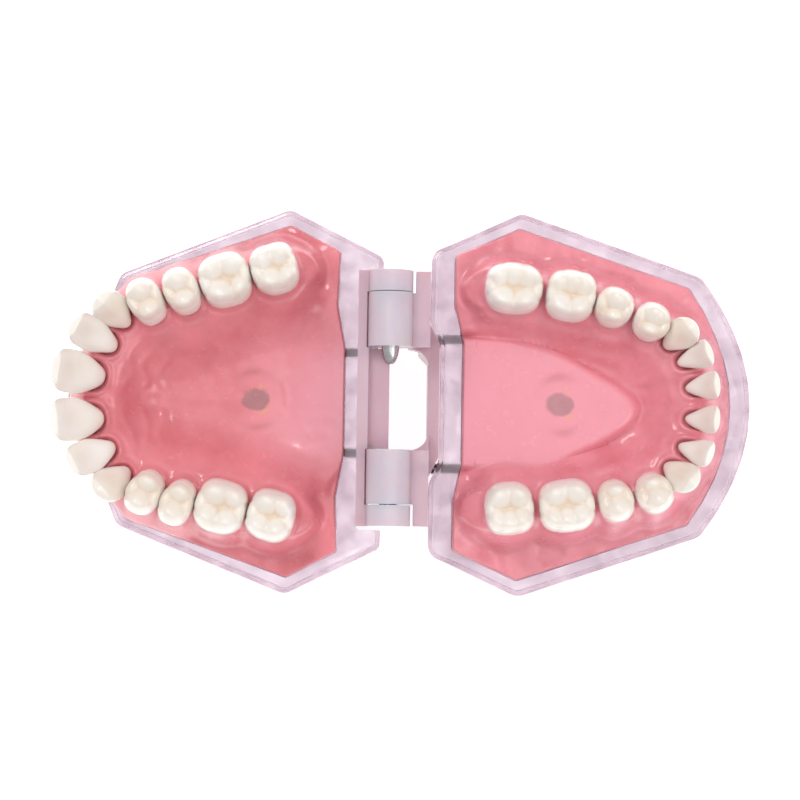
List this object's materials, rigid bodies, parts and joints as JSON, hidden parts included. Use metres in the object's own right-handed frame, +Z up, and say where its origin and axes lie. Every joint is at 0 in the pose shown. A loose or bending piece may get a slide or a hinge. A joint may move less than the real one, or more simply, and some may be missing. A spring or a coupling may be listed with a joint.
{
  "type": "typodont model",
  "caption": "Dental typodont opened flat: clear bases, pink gums and single ivory teeth on both jaws, joined at the back by a pinned plastic hinge.",
  "frame": {"origin": "middle of the bounding box in plan, at the underside of the two bases", "axes": "+X from the hinge to the front of the lower jaw, +Y to the model's own left side, +Z up, teeth up on both jaws in the opened pose"},
  "size_m": [0.1307, 0.0748, 0.0325],
  "materials": {
    "clear_base": "clear moulded acrylic with a faint lilac tint, polished",
    "gum": "glossy translucent pink gum resin",
    "tooth_resin": "glossy ivory tooth resin",
    "hinge_plastic": "milky translucent lilac plastic",
    "steel": "bright steel",
    "brass_insert": "turned brass"
  },
  "bodies": {
    "lower_jaw": {"lower_base": "clear_base", "lower_gum": "gum", "lower_tooth_screws": "steel", "lower_mount_insert": "brass_insert", "lower_left_central_incisor": "tooth_resin", "lower_left_lateral_incisor": "tooth_resin", "lower_left_canine": "tooth_resin", "lower_left_first_premolar": "tooth_resin", "lower_left_second_premolar": "tooth_resin", "lower_left_first_molar": "tooth_resin", "lower_left_second_molar": "tooth_resin", "lower_right_central_incisor": "tooth_resin", "lower_right_lateral_incisor": "tooth_resin", "lower_right_canine": "tooth_resin", "lower_right_first_premolar": "tooth_resin", "lower_right_second_premolar": "tooth_resin", "lower_right_first_molar": "tooth_resin", "lower_right_second_molar": "tooth_resin", "hinge_yoke": "hinge_plastic", "hinge_yoke_screws": "steel", "hinge_pin_left": "steel", "hinge_pin_right": "steel"},
    "upper_jaw": {"upper_base": "clear_base", "upper_gum": "gum", "upper_tooth_screws": "steel", "upper_mount_insert": "brass_insert", "upper_left_central_incisor": "tooth_resin", "upper_left_lateral_incisor": "tooth_resin", "upper_left_canine": "tooth_resin", "upper_left_first_premolar": "tooth_resin", "upper_left_second_premolar": "tooth_resin", "upper_left_first_molar": "tooth_resin", "upper_left_second_molar": "tooth_resin", "upper_right_central_incisor": "tooth_resin", "upper_right_lateral_incisor": "tooth_resin", "upper_right_canine": "tooth_resin", "upper_right_first_premolar": "tooth_resin", "upper_right_second_premolar": "tooth_resin", "upper_right_first_molar": "tooth_resin", "upper_right_second_molar": "tooth_resin", "hinge_leaf": "hinge_plastic", "hinge_leaf_screws": "steel"}
  },
  "joints": [
    {"name": "jaw_hinge", "type": "hinge", "parent": "lower_jaw", "child": "upper_jaw", "pos_m": [-0.00365, 0, 0.0285], "axis": [0, 1, 0], "range_deg": [0, 180]}
  ]
}
